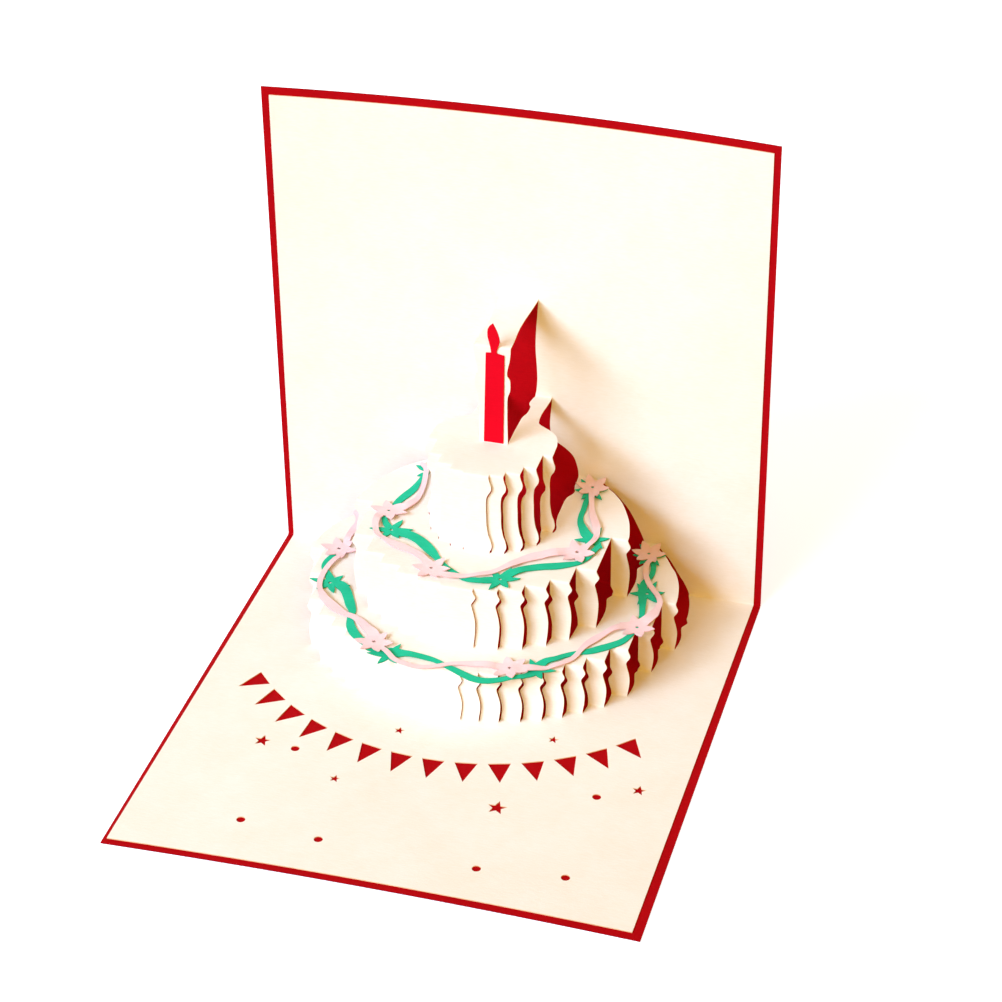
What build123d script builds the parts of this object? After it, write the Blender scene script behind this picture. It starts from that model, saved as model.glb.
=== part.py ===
from build123d import *
import math
import os

os.makedirs("parts", exist_ok=True)

# ---------------------------------------------------------------- dimensions
# Millimetres. X runs along the fold, -Y points to the front edge, +Z is up.
# The card stands open at a right angle: one half lies flat, one half is upright.

CARD_W = 150.0            # width along the fold
CARD_D = 153.0            # depth of the flat half and height of the upright half
COVER_T = 0.35            # outer card thickness
SHEET_T = 0.30            # inner card thickness
PAPER_T = 0.25            # vine, ribbon and candle paper thickness
FOLD_R = 0.30             # outside radius of the cover's fold

FACE_Z = COVER_T + SHEET_T                       # top face of the flat half
FACE_Y = (CARD_D - FACE_Z) / 2                   # front face of the upright half
FRONT_Y = FACE_Y - CARD_D                        # front edge of the cover
BACK_Y = FACE_Y + FACE_Z                         # back face of the cover

# Inner card outline, a little askew inside the cover: (x, distance from fold)
SHEET_BASE = [(-73.15, 0.0), (72.9, 0.0), (72.3, 150.6), (-73.85, 151.1)]
SHEET_WALL = [(-73.15, 0.0), (72.9, 0.0), (73.0, 150.7), (-72.7, 150.6)]

# Tiers of the cake, heights above the flat half's top face
H1, H2, H3 = 16.6, 36.6, 62.7

# Each tier: x of every cut on its right half, the depth in front of the upright
# half of the strip that ends at that cut, the tier's own centre line, and the
# outline of its top from the last strip back to the upright half (x, depth).
TIER1 = dict(
    low=0.0, top=H1, mid=-0.85,
    cuts=[3.91, 9.11, 14.73, 20.57, 26.29, 31.57, 36.68, 41.92, 47.08, 51.06, 55.16],
    deep=[76.83, 76.15, 75.11, 73.30, 71.04, 68.19, 64.65, 60.35, 53.56, 40.64, 28.23],
    back=[(55.16, 28.23), (54.6, 22.5), (53.5, 17.7), (51.6, 13.0), (49.9, 10.3),
          (47.1, 5.5), (43.3, 0.0)],
    wave=[(0, 0), (0.9, 0.30), (2.1, 0.70), (3.2, 0.30), (4.1, -0.25), (4.9, -0.50),
          (6.3, -0.25), (8.5, 0.30), (10.5, 0.55), (12.5, 0.50), (14.5, 0.28), (16.6, 0)])
TIER2 = dict(
    low=H1, top=H2, mid=-0.5,
    cuts=[4.36, 11.23, 17.91, 24.07, 29.67, 35.68, 40.62],
    deep=[64.05, 63.19, 61.15, 57.76, 53.28, 45.65, 28.45],
    back=[(40.62, 28.45), (39.4, 21.7), (37.9, 17.2), (34.4, 10.0), (31.3, 5.9),
          (29.5, 4.1), (25.5, 0.0)],
    wave=[(0, 0), (0.9, 0.35), (2.1, 0.80), (3.2, 0.35), (4.1, -0.20), (4.9, -0.45),
          (6.5, -0.15), (9.0, 0.35), (11.5, 0.60), (14.0, 0.55), (17.0, 0.30), (20.0, 0)])
TIER3 = dict(
    low=H2, top=H3, mid=0.0,
    cuts=[3.85, 7.94, 12.16, 15.79, 18.58],
    deep=[44.84, 44.01, 41.58, 37.46, 30.11],
    back=[(18.58, 30.11), (18.5, 27.0), (18.2, 23.5), (16.8, 19.5), (14.4, 17.1),
          (10.1, 13.8), (10.2, 0.0)],
    wave=[(0, 0), (1.5, 0.30), (3.1, 0.75), (4.6, 0.60), (6.0, -0.20), (7.2, -0.65),
          (9.4, -0.85), (13.0, -0.80), (17.0, -0.75), (20.5, -0.25), (22.3, 0.35),
          (24.2, 0.65), (25.4, 0.40), (26.1, 0)])
WAVE_STEP = 1.5           # spacing of the points on a curved cut

# Support strip for the candle: half outline (distance above the fold as the
# sheet lay flat, x), its depth in front of the upright half and its top height
STEM_DEEP, STEM_TOP, STEM_MID = 27.2, 94.65, 0.3
STEM = [(35.5, 4.55), (42.0, 4.5), (48.6, 4.55), (51.2, 4.7), (53.5, 5.4), (56.0, 5.5),
        (57.4, 5.3), (58.3, 4.7), (59.8, 4.6), (63.8, 5.4), (67.45, 5.7), (71.4, 5.6),
        (78.2, 5.17), (84.1, 5.3), (90.1, 5.7), (94.65, 5.9)]

# Windows in the flat half: stars and dots (x, depth, size), row of pennants
STARS = [(24.8, 111.9, 3.0), (-47.4, 100.4, 2.6), (60.4, 94.2, 2.2),
         (-22.1, 111.5, 1.7), (-11.4, 86.0, 1.7), (31.8, 78.6, 1.7)]
DOTS = [(-37.2, 101.5), (-41.1, 135.1), (-17.9, 137.8),
        (49.9, 100.0), (26.6, 138.1), (50.3, 135.0)]
DOT_R = 1.25
PENNANTS = 14
PENNANT_CENTRE = (-1.5, 21.0)      # arc centre of the row (x, depth)
PENNANT_R = 75.2                   # radius of the row's straight edges
PENNANT_SPAN = (-47.0, 45.0)       # first and last pennant, degrees off the front
PENNANT_W, PENNANT_H = 6.6, 8.6

# Candle outline on its support strip (x, height), with a slight lean
CANDLE_BODY = [(-2.5, 62.9), (3.3, 62.9), (3.95, 92.2), (1.9, 92.6)]
CANDLE_BODY_LEFT = [(0.15, 92.7), (-1.5, 92.5)]
FLAME_RIGHT = [(1.9, 92.6), (1.75, 93.4), (2.65, 96.4), (2.2, 99.3), (0.85, 102.6)]
FLAME_LEFT = [(0.85, 102.6), (-0.55, 100.9), (-0.85, 98.2), (-0.25, 95.2), (0.15, 92.7)]

# Garlands: centre lines with their cut width (x, depth, width); the bands swell
# and thin along their length
FLOWER_R, FLOWER_IN, FLOWER_EYE = 5.5, 2.9, 0.5
LEAF_R, LEAF_IN, LEAF_EYE = 5.7, 2.1, 0.5

LOWER_RIBBON = [(-50.1, 6.7, 1.6), (-48.2, 9.5, 1.6), (-47.3, 12.8, 1.6), (-47.3, 16.2, 2.4),
                (-47.4, 19.6, 2.1), (-47.3, 23.0, 2.0), (-46.7, 26.4, 2.3), (-46.6, 29.8, 2.1),
                (-47.4, 33.1, 1.6), (-48.2, 36.4, 1.6), (-48.6, 39.8, 1.6), (-48.6, 43.3, 1.6),
                (-47.9, 46.6, 1.6), (-46.5, 49.7, 1.6), (-44.5, 52.5, 2.4), (-41.9, 54.7, 2.9),
                (-39.2, 56.8, 3.0), (-36.2, 58.4, 2.1), (-32.9, 59.4, 2.1), (-30.1, 61.3, 2.5),
                (-27.7, 63.8, 2.8), (-25.1, 65.9, 3.2), (-22.9, 68.6, 2.6), (-20.9, 71.3, 1.6),
                (-18.4, 73.6, 1.6), (-15.7, 75.8, 1.6), (-12.7, 77.2, 1.6), (-9.3, 77.7, 1.6),
                (-5.9, 77.1, 1.6), (-2.8, 75.7, 1.6), (0.1, 73.9, 1.6), (3.3, 72.8, 1.8),
                (6.7, 72.1, 2.5), (10.1, 71.8, 2.7), (13.5, 71.8, 2.6), (16.9, 71.4, 2.7),
                (20.3, 70.9, 2.9), (23.6, 70.1, 2.5), (26.8, 69.0, 1.6), (29.6, 66.9, 1.6),
                (31.9, 64.4, 1.6), (33.5, 61.4, 1.6), (34.3, 58.1, 1.6), (35.3, 54.8, 2.1),
                (36.9, 51.8, 2.5), (38.7, 48.9, 2.0), (40.7, 46.1, 2.1), (43.3, 43.9, 2.6),
                (46.1, 41.9, 3.4), (48.7, 39.7, 3.4), (50.2, 36.7, 3.2), (50.7, 33.3, 2.1),
                (50.8, 29.9, 1.6), (49.5, 26.7, 1.6), (47.5, 24.0, 1.6), (45.4, 21.2, 1.6),
                (43.9, 18.2, 1.6), (43.0, 14.9, 1.6), (42.9, 11.5, 1.6), (43.3, 8.1, 1.7)]
LOWER_VINE = [(-48.2, 28.1, 1.6), (-49.4, 31.3, 1.6), (-50.1, 34.6, 1.6), (-49.4, 37.9, 1.6),
              (-47.1, 40.5, 1.6), (-44.9, 43.0, 2.1), (-42.0, 44.8, 3.4), (-39.6, 47.3, 3.1),
              (-37.8, 50.2, 3.0), (-36.2, 53.2, 2.9), (-34.6, 56.2, 2.2), (-34.1, 59.6, 1.8),
              (-33.0, 62.8, 2.5), (-31.2, 65.7, 2.8), (-28.8, 68.2, 2.6), (-26.1, 70.2, 2.4),
              (-24.0, 72.9, 1.8), (-20.7, 72.8, 2.0), (-17.5, 71.7, 2.4), (-14.1, 72.1, 2.5),
              (-10.7, 72.3, 2.2), (-7.3, 72.4, 2.1), (-4.0, 73.1, 1.7), (-0.8, 74.5, 1.7),
              (2.3, 75.8, 2.1), (5.4, 77.2, 2.4), (8.6, 78.4, 2.5), (12.0, 78.5, 2.5),
              (15.2, 77.3, 2.2), (18.2, 75.7, 1.8), (21.3, 74.3, 1.8), (23.8, 72.0, 2.6),
              (24.4, 68.7, 3.1), (25.8, 65.7, 2.4), (28.5, 63.5, 2.0), (30.8, 61.0, 1.9),
              (33.6, 59.0, 1.8), (36.6, 57.5, 2.4), (39.3, 55.4, 2.8), (41.9, 53.2, 2.6),
              (44.3, 50.7, 2.3), (45.8, 47.7, 1.7), (46.7, 44.4, 1.6), (47.4, 41.0, 1.6),
              (47.2, 37.6, 1.6), (46.6, 34.3, 1.8), (45.9, 30.9, 2.1), (45.1, 27.6, 2.6),
              (44.3, 24.3, 2.6), (44.0, 20.9, 1.9), (45.0, 17.7, 1.6), (45.1, 14.3, 1.6),
              (44.3, 11.0, 1.6), (42.8, 7.9, 1.6)]
UPPER_RIBBON = [(-28.9, 5.4, 1.6), (-26.6, 7.8, 1.6), (-25.7, 11.0, 1.6), (-25.0, 14.3, 1.6),
                (-24.5, 17.7, 1.6), (-24.2, 21.0, 1.6), (-24.3, 24.4, 1.8), (-25.3, 27.6, 2.4),
                (-27.1, 30.4, 3.1), (-29.6, 32.7, 3.2), (-31.8, 35.1, 2.4), (-32.2, 38.4, 2.1),
                (-31.5, 41.7, 1.8), (-29.8, 44.6, 1.6), (-27.1, 46.7, 1.6), (-24.2, 48.4, 2.5),
                (-21.0, 49.3, 2.9), (-17.8, 50.3, 2.6), (-15.0, 52.2, 2.4), (-12.4, 54.4, 2.5),
                (-10.1, 56.9, 2.8), (-7.7, 59.1, 2.7), (-4.4, 59.8, 2.4), (-1.1, 59.1, 1.9),
                (2.1, 58.0, 1.6), (5.1, 56.5, 1.6), (7.8, 54.5, 1.6), (10.0, 52.0, 1.7),
                (12.0, 49.3, 2.6), (14.1, 46.6, 2.8), (16.6, 44.3, 3.4), (19.4, 42.5, 3.4),
                (22.4, 40.9, 3.4), (25.5, 39.5, 2.9), (28.3, 37.7, 2.4), (30.6, 35.2, 1.7),
                (31.5, 32.0, 1.6), (31.4, 28.7, 1.8), (30.5, 25.4, 2.2), (29.2, 22.3, 2.3),
                (27.8, 19.2, 2.0), (26.7, 16.0, 1.6), (25.8, 12.8, 1.6), (25.0, 9.5, 1.8),
                (24.6, 6.2, 2.6)]
UPPER_VINE = [(-25.6, 8.8, 1.6), (-26.1, 12.1, 1.6), (-26.6, 15.5, 1.6), (-27.0, 18.9, 2.4),
              (-28.0, 22.2, 2.7), (-29.1, 25.4, 2.4), (-29.8, 28.7, 1.9), (-30.6, 32.0, 1.6),
              (-30.8, 35.4, 1.6), (-29.3, 38.5, 1.9), (-26.8, 40.7, 2.4), (-23.6, 41.9, 3.4),
              (-20.3, 42.9, 3.4), (-17.2, 44.3, 3.4), (-14.6, 46.5, 3.4), (-12.2, 48.9, 3.0),
              (-9.9, 51.4, 2.0), (-7.5, 53.8, 1.6), (-4.8, 56.0, 1.6), (-1.9, 57.8, 1.6),
              (1.0, 59.4, 1.9), (4.4, 59.5, 2.3), (7.7, 58.5, 2.5), (10.5, 56.6, 2.8),
              (12.5, 53.9, 2.8), (14.8, 51.4, 2.7), (17.5, 49.3, 2.9), (20.6, 47.8, 3.0),
              (23.8, 46.7, 3.1), (26.9, 45.2, 2.6), (29.8, 43.4, 1.8), (31.6, 40.6, 1.7),
              (32.5, 37.3, 1.8), (33.1, 33.9, 2.0), (31.4, 31.1, 2.2), (28.6, 29.2, 3.2),
              (26.7, 26.4, 2.5), (25.2, 23.3, 1.9), (24.5, 20.0, 1.6), (24.4, 16.6, 1.6),
              (24.2, 13.2, 1.6), (24.3, 9.8, 1.6), (24.4, 6.4, 1.8)]
# flowers and leaf clusters (x, depth, turn in degrees)
LOWER_FLOWERS = [(-48.3, 27.4, 2), (-23.6, 69.8, -4), (17.2, 71.8, 6), (47.2, 43.1, 3),
                 (41.8, 6.1, -3)]
UPPER_FLOWERS = [(-30.3, 32.6, 4), (-9.8, 57.3, -5), (28.3, 39.1, 0), (24.1, 5.2, 2)]
LOWER_LEAVES = [(-45.4, 44.4, 2), (-17.8, 73.7, -12), (24.4, 69.7, -5), (46.0, 25.7, -16),
                (42.1, 6.6, -12)]
UPPER_LEAVES = [(-26.8, 41.2, -12), (10.5, 57.0, -14), (30.7, 31.2, -18), (24.0, 6.3, -15)]
# single leaves at the rear end of the upper vine: corners (x, depth)
UPPER_LEAFLETS = [[(-25.3, 8.9), (-27.6, 5.9), (-30.1, 6.5), (-28.2, 8.1)],
                  [(-25.9, 9.6), (-25.4, 11.4), (-27.9, 12.0), (-27.4, 10.3)]]


# ---------------------------------------------------------------- cut geometry
def smooth(table, t):
    """Smooth curve through (t, value) pairs, flat outside the table."""
    if t <= table[0][0]:
        return table[0][1]
    if t >= table[-1][0]:
        return table[-1][1]
    for k in range(len(table) - 1):
        (t0, a), (t1, b) = table[k], table[k + 1]
        if t <= t1:
            def slope(j):
                if j <= 0 or j >= len(table) - 1:
                    return 0.0
                return (table[j + 1][1] - table[j - 1][1]) / (table[j + 1][0] - table[j - 1][0])
            m0, m1, w = slope(k), slope(k + 1), t1 - t0
            u = (t - t0) / w
            return ((2*u**3 - 3*u**2 + 1) * a + (u**3 - 2*u**2 + u) * w * m0
                    + (-2*u**3 + 3*u**2) * b + (u**3 - u**2) * w * m1)


def steps(a, b, step=WAVE_STEP):
    """Evenly spaced values from a to b, both ends included."""
    n = max(2, math.ceil(abs(b - a) / step))
    return [a + (b - a) * k / n for k in range(n + 1)]


def cut_x(tier, k, flat):
    """x of cut k at a flat height: curved along the strip in front, then straight."""
    below = tier["top"] - tier["deep"][k] - flat
    return tier["cuts"][k] + smooth(tier["wave"], below)


def top_x(tier, depth):
    """x of the tier top's outline behind its last strip."""
    return smooth([(d, x) for x, d in reversed(tier["back"])], depth)


def side_x(tier, flat):
    """x of the tier's outermost cut at a flat height."""
    if flat <= tier["top"] - tier["deep"][-1]:
        return cut_x(tier, len(tier["cuts"]) - 1, flat)
    return top_x(tier, tier["top"] - flat)


def strip_runs(tier):
    """(left cut, right cut, depth) of every strip on the right half."""
    return [(k - 1, k, tier["deep"][k]) for k in range(1, len(tier["cuts"]))]


def stem_x(flat):
    return smooth(STEM, flat)


def flip(points, mid):
    return [(2 * mid - x, y) for x, y in points]


# Right half of each outline, listed from the rear to the front centre; the left
# half is its mirror image about the tier's centre line.
def opening_half(tier):
    """Window that a tier leaves in the plate it rises from, as runs of (x, depth)."""
    last = tier["deep"][-1] - SHEET_T
    runs = [[(side_x(tier, tier["low"]), -SHEET_T - 1.0), (side_x(tier, tier["low"]), 0.0)],
            [(side_x(tier, tier["low"] - p), p) for p in steps(0.0, last)]]
    for k in range(len(tier["cuts"]) - 2, -1, -1):
        near, far = tier["deep"][k + 1] - SHEET_T, tier["deep"][k] - SHEET_T
        runs.append([(cut_x(tier, k, tier["low"] - p), p) for p in steps(near, far)])
    return runs


def plate_half(tier):
    """Outline of a tier's top plate, as runs of (x, depth)."""
    last = tier["deep"][-1]
    corner = [d for x, d in tier["back"][1:-1] if tier is TIER3 and x < 10.15]
    stops = [0.0] + corner + [last]
    runs = [[(top_x(tier, 0.0), -SHEET_T), (top_x(tier, 0.0), 0.0)]]
    for a, b in zip(stops, stops[1:]):
        runs.append([(top_x(tier, p), p) for p in steps(a, b)])
    for k in range(len(tier["cuts"]) - 2, -1, -1):
        runs.append([(tier["cuts"][k], tier["deep"][k + 1]), (tier["cuts"][k], tier["deep"][k])])
    return runs


def wall_half(tier):
    """Window that a tier leaves in the upright half, as runs of (x, height)."""
    low, high = tier["low"], tier["top"] - SHEET_T
    if tier["low"] > 0:
        low = tier["low"] - SHEET_T
    corner = [tier["top"] - d for x, d in tier["back"][1:-1] if tier is TIER3 and x < 10.15]
    stops = [high] + corner + [tier["low"]]
    runs = []
    for a, b in zip(stops, stops[1:]):
        runs.append([(side_x(tier, z), z) for z in steps(a, b)])
    runs.append([(side_x(tier, tier["low"]), tier["low"]), (side_x(tier, tier["low"]), low - 1.0)])
    return runs


def add_runs(runs):
    """Draw runs one after the other: splines for curved runs, lines between them."""
    last = None
    first = None
    for run in runs:
        if last is not None and (abs(last[0] - run[0][0]) > 1e-6 or abs(last[1] - run[0][1]) > 1e-6):
            Line(last, run[0])
        if len(run) > 2:
            Spline(*run)
        else:
            Line(run[0], run[1])
        if first is None:
            first = run[0]
        last = run[-1]
    if abs(last[0] - first[0]) > 1e-6 or abs(last[1] - first[1]) > 1e-6:
        Line(last, first)


def whole(runs, mid):
    """Right half followed by its mirror image, walked back to the rear."""
    return runs + [list(reversed(flip(r, mid))) for r in reversed(runs)]


def floor_plane(height):
    """Plane at a height above the flat half, x to the right, depth forwards."""
    return Plane(origin=(0, FACE_Y, FACE_Z + height), x_dir=(1, 0, 0), z_dir=(0, 0, -1))


def strip_plane(depth):
    """Upright plane at a depth in front of the upright half, x right, height up."""
    return Plane(origin=(0, FACE_Y - depth, FACE_Z), x_dir=(1, 0, 0), z_dir=(0, -1, 0))


def strip_outline(tier, left, right, depth, mid=None):
    """Outline of one upright strip, from under its lower plate to its tier's top."""
    low, high = tier["low"], tier["top"]
    heights = steps(low, high)
    rising = [(cut_x(tier, right, z - depth), z) for z in heights]
    if left is None:
        falling = flip(list(reversed(rising)), tier["mid"])
    else:
        falling = [(cut_x(tier, left, z - depth), z) for z in reversed(heights)]
    foot = [[(falling[-1][0], low), (falling[-1][0], low - SHEET_T)],
            [(rising[0][0], low - SHEET_T), (rising[0][0], low)]]
    runs = [rising, falling] + foot
    if mid is not None:
        runs = [flip(r, mid) for r in runs]
    return runs


def band(path):
    """Both edges of a band along a smooth path of (x, depth, width)."""
    left, right = [], []
    for k, (x, y, width) in enumerate(path):
        x0, y0, _ = path[max(k - 1, 0)]
        x1, y1, _ = path[min(k + 1, len(path) - 1)]
        n = math.hypot(x1 - x0, y1 - y0)
        nx, ny = -(y1 - y0) / n, (x1 - x0) / n
        left.append((x + nx * width / 2, y + ny * width / 2))
        right.append((x - nx * width / 2, y - ny * width / 2))
    return left, right


def star(x, y, outer, inner, points, turn):
    """Corners of a star."""
    out = []
    for k in range(2 * points):
        r = outer if k % 2 == 0 else inner
        a = math.radians(turn + 180.0 * k / points)
        out.append((x + r * math.cos(a), y + r * math.sin(a)))
    return out


# ---------------------------------------------------------------- outer card
with BuildPart() as cover:
    with BuildSketch(Plane.YZ.offset(-CARD_W / 2)) as cover_section:
        with BuildLine():
            Polyline((FRONT_Y, 0), (BACK_Y, 0), (BACK_Y, FACE_Z + CARD_D),
                     (BACK_Y - COVER_T, FACE_Z + CARD_D), (BACK_Y - COVER_T, COVER_T),
                     (FRONT_Y, COVER_T), close=True)
        make_face()
        fillet(cover_section.vertices().group_by(Axis.X)[-1].sort_by(Axis.Y)[0:1], FOLD_R)
    extrude(amount=CARD_W)
cover.part.label = "cover"
export_step(cover.part, "parts/cover.step")

# ---------------------------------------------------------------- inner card
with BuildPart() as inner_sheet:
    # flat half with the lowest tier's window, stars, dots and pennants
    with BuildSketch(floor_plane(0.0)):
        with BuildLine():
            (xa, _), (xb, _), (xc, yc), (xd, yd) = SHEET_BASE
            Polyline((xa, -SHEET_T), (xb, -SHEET_T), (xc, yc), (xd, yd), close=True)
        make_face()
        with BuildLine():
            add_runs(whole(opening_half(TIER1), TIER1["mid"]))
        make_face(mode=Mode.SUBTRACT)
        for sx, sy, size in STARS:
            with BuildLine():
                Polyline(*star(sx, sy, size, size * 0.42, 5, -90.0), close=True)
            make_face(mode=Mode.SUBTRACT)
        with Locations(*DOTS):
            Circle(DOT_R, mode=Mode.SUBTRACT)
        for n in range(PENNANTS):
            turn = math.radians(PENNANT_SPAN[0] + (PENNANT_SPAN[1] - PENNANT_SPAN[0]) * n / (PENNANTS - 1))
            out_x, out_y = math.sin(turn), math.cos(turn)
            corners = []
            for along, away in ((-PENNANT_W / 2, 0), (PENNANT_W / 2, 0), (0, PENNANT_H)):
                r = PENNANT_R + away
                corners.append((PENNANT_CENTRE[0] + r * out_x + along * out_y,
                                PENNANT_CENTRE[1] + r * out_y - along * out_x))
            with BuildLine():
                Polyline(*corners, close=True)
            make_face(mode=Mode.SUBTRACT)
    extrude(amount=SHEET_T)
    # upright half with the windows of the three tiers and the support strip
    with BuildSketch(strip_plane(0.0)):
        with BuildLine():
            (xa, _), (xb, _), (xc, zc), (xd, zd) = SHEET_WALL
            Polyline((xa, -SHEET_T), (xb, -SHEET_T), (xc, zc), (xd, zd), close=True)
        make_face()
        for tier in (TIER1, TIER2, TIER3):
            with BuildLine():
                add_runs(whole(wall_half(tier), tier["mid"]))
            make_face(mode=Mode.SUBTRACT)
        with BuildLine():
            half = [(stem_x(z), z) for z in steps(STEM_TOP - SHEET_T, H3)]
            add_runs(whole([half, [half[-1], (half[-1][0], H3 - 1.0)]], STEM_MID))
        make_face(mode=Mode.SUBTRACT)
    extrude(amount=-SHEET_T)
    # tops of the tiers
    for tier, above in ((TIER1, TIER2), (TIER2, TIER3), (TIER3, None)):
        with BuildSketch(floor_plane(tier["top"])):
            with BuildLine():
                add_runs(whole(plate_half(tier), tier["mid"]))
            make_face()
            with BuildLine():
                if above is not None:
                    add_runs(whole(opening_half(above), above["mid"]))
                else:
                    half = [(stem_x(H3 - p), p) for p in steps(0.0, STEM_DEEP - SHEET_T)]
                    add_runs(whole([[(half[0][0], -SHEET_T - 1.0), half[0]], half], STEM_MID))
            make_face(mode=Mode.SUBTRACT)
        extrude(amount=SHEET_T)
    # top of the support strip
    with BuildSketch(floor_plane(STEM_TOP)):
        with BuildLine():
            half = [(stem_x(STEM_TOP - p), p) for p in steps(0.0, STEM_DEEP)]
            add_runs(whole([[(half[0][0], -SHEET_T), half[0]], half], STEM_MID))
        make_face()
    extrude(amount=SHEET_T)
    # upright strips of the tiers
    for tier in (TIER1, TIER2, TIER3):
        with BuildSketch(strip_plane(tier["deep"][0])):
            with BuildLine():
                add_runs(strip_outline(tier, None, 0, tier["deep"][0]))
            make_face()
        extrude(amount=-SHEET_T)
        for left, right, depth in strip_runs(tier):
            with BuildSketch(strip_plane(depth)):
                with BuildLine():
                    add_runs(strip_outline(tier, left, right, depth))
                make_face()
                with BuildLine():
                    add_runs(strip_outline(tier, left, right, depth, tier["mid"]))
                make_face()
            extrude(amount=-SHEET_T)
    # upright support strip
    with BuildSketch(strip_plane(STEM_DEEP)):
        with BuildLine():
            rising = [(stem_x(z - STEM_DEEP), z) for z in steps(H3, STEM_TOP)]
            falling = list(reversed(flip(rising, STEM_MID)))
            add_runs([rising, falling, [falling[-1], (falling[-1][0], H3 - SHEET_T)],
                      [(rising[0][0], H3 - SHEET_T), rising[0]]])
        make_face()
    extrude(amount=-SHEET_T)
inner_sheet.part.label = "inner_sheet"
export_step(inner_sheet.part, "parts/inner_sheet.step")

# ---------------------------------------------------------------- candle
with BuildPart() as candle:
    with BuildSketch(strip_plane(STEM_DEEP)):
        with BuildLine():
            Polyline(*CANDLE_BODY)
            Spline(*FLAME_RIGHT)
            Spline(*FLAME_LEFT)
            Polyline(CANDLE_BODY_LEFT[0], CANDLE_BODY_LEFT[1], CANDLE_BODY[0])
        make_face()
    extrude(amount=PAPER_T)
candle.part.label = "candle"
export_step(candle.part, "parts/candle.step")

# ---------------------------------------------------------------- garlands
# Each vine lies on its tier's top and its ribbon lies on the vine.
with BuildPart() as lower_vine:
    with BuildSketch(floor_plane(H1)):
        with BuildLine():
            edge_a, edge_b = band(LOWER_VINE)
            add_runs([edge_a, list(reversed(edge_b))])
        make_face()
        for fx, fy, turn in LOWER_LEAVES:
            with BuildLine():
                Polyline(*star(fx, fy, LEAF_R, LEAF_IN, 6, turn), close=True)
            make_face()
        with Locations(*[(fx, fy) for fx, fy, _ in LOWER_LEAVES]):
            Circle(LEAF_EYE, mode=Mode.SUBTRACT)
    extrude(amount=-PAPER_T)
lower_vine.part.label = "lower_vine"
export_step(lower_vine.part, "parts/lower_vine.step")

with BuildPart() as lower_ribbon:
    with BuildSketch(floor_plane(H1 + PAPER_T)):
        with BuildLine():
            edge_a, edge_b = band(LOWER_RIBBON)
            add_runs([edge_a, list(reversed(edge_b))])
        make_face()
        for fx, fy, turn in LOWER_FLOWERS:
            with BuildLine():
                Polyline(*star(fx, fy, FLOWER_R, FLOWER_IN, 6, turn), close=True)
            make_face()
        with Locations(*[(fx, fy) for fx, fy, _ in LOWER_FLOWERS]):
            Circle(FLOWER_EYE, mode=Mode.SUBTRACT)
    extrude(amount=-PAPER_T)
lower_ribbon.part.label = "lower_ribbon"
export_step(lower_ribbon.part, "parts/lower_ribbon.step")

with BuildPart() as upper_vine:
    with BuildSketch(floor_plane(H2)):
        with BuildLine():
            edge_a, edge_b = band(UPPER_VINE)
            add_runs([edge_a, list(reversed(edge_b))])
        make_face()
        for fx, fy, turn in UPPER_LEAVES:
            with BuildLine():
                Polyline(*star(fx, fy, LEAF_R, LEAF_IN, 6, turn), close=True)
            make_face()
        for corners in UPPER_LEAFLETS:
            with BuildLine():
                Polyline(*corners, close=True)
            make_face()
        with Locations(*[(fx, fy) for fx, fy, _ in UPPER_LEAVES]):
            Circle(LEAF_EYE, mode=Mode.SUBTRACT)
    extrude(amount=-PAPER_T)
upper_vine.part.label = "upper_vine"
export_step(upper_vine.part, "parts/upper_vine.step")

with BuildPart() as upper_ribbon:
    with BuildSketch(floor_plane(H2 + PAPER_T)):
        with BuildLine():
            edge_a, edge_b = band(UPPER_RIBBON)
            add_runs([edge_a, list(reversed(edge_b))])
        make_face()
        for fx, fy, turn in UPPER_FLOWERS:
            with BuildLine():
                Polyline(*star(fx, fy, FLOWER_R, FLOWER_IN, 6, turn), close=True)
            make_face()
        with Locations(*[(fx, fy) for fx, fy, _ in UPPER_FLOWERS]):
            Circle(FLOWER_EYE, mode=Mode.SUBTRACT)
    extrude(amount=-PAPER_T)
upper_ribbon.part.label = "upper_ribbon"
export_step(upper_ribbon.part, "parts/upper_ribbon.step")
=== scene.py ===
import math

import bpy
import numpy as np
from mathutils import Matrix, Vector, noise
from mathutils.geometry import delaunay_2d_cdt
from mathutils.kdtree import KDTree


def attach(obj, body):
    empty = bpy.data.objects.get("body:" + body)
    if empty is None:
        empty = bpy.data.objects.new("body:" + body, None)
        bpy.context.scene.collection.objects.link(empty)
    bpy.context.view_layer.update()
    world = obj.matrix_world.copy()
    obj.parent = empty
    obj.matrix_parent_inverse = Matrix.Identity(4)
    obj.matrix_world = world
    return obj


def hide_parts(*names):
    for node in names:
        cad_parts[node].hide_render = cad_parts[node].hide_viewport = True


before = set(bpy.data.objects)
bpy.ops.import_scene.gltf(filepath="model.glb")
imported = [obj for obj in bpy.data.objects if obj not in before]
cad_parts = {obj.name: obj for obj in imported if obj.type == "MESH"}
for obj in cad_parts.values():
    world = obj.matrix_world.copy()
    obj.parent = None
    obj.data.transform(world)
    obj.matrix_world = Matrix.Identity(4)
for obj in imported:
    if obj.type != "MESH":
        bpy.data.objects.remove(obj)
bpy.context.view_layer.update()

# ---------------------------------------------------------------- dimensions
# Millimetres while the paper is shaped. A point is (x, depth, height): x along
# the fold, depth in front of the upright half, height above the flat half.
CARD_W, CARD_D = 150.0, 153.0
COVER_T, SHEET_T, PAPER_T = 0.35, 0.30, 0.25
FACE_Z = COVER_T + SHEET_T
FACE_Y = (CARD_D - FACE_Z) / 2
CREASE = 0.45             # radius of a crease on the sheet's front face

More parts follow.
